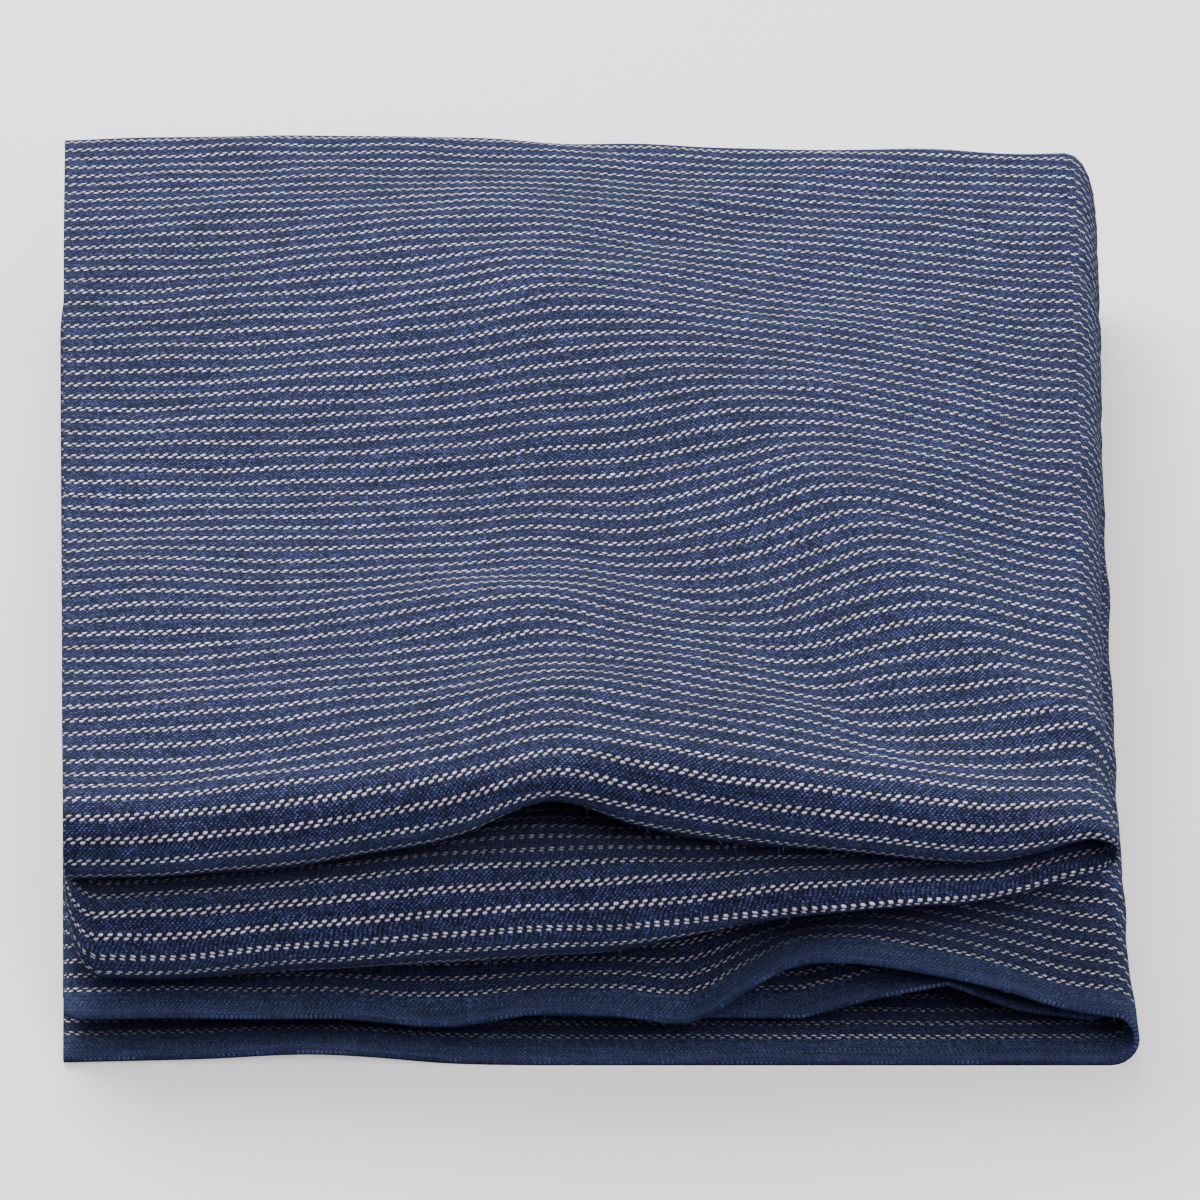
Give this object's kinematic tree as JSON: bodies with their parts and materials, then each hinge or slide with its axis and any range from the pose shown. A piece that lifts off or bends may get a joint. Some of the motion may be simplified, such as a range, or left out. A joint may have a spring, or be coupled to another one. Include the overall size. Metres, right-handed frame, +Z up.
{
  "type": "folded striped cloth",
  "caption": "Cut length of hand-woven indigo cotton with fine dotted white stripes, turned in along one side and folded into a soft flat pack.",
  "frame": {"origin": "on the flat underside that the pack rests on, midway between its front line and its back folds", "axes": "+Z up through the layers, -Y towards the selvedges and the rolled front, +X along the stripes towards the folded right end"},
  "size_m": [0.1599, 0.1947, 0.0462],
  "materials": {
    "indigo_cotton": "plain hand-woven cotton, indigo with thin dotted off-white stripes, dull and slightly fuzzy"
  },
  "bodies": {
    "root": {"cloth": "indigo_cotton"}
  },
  "joints": []
}
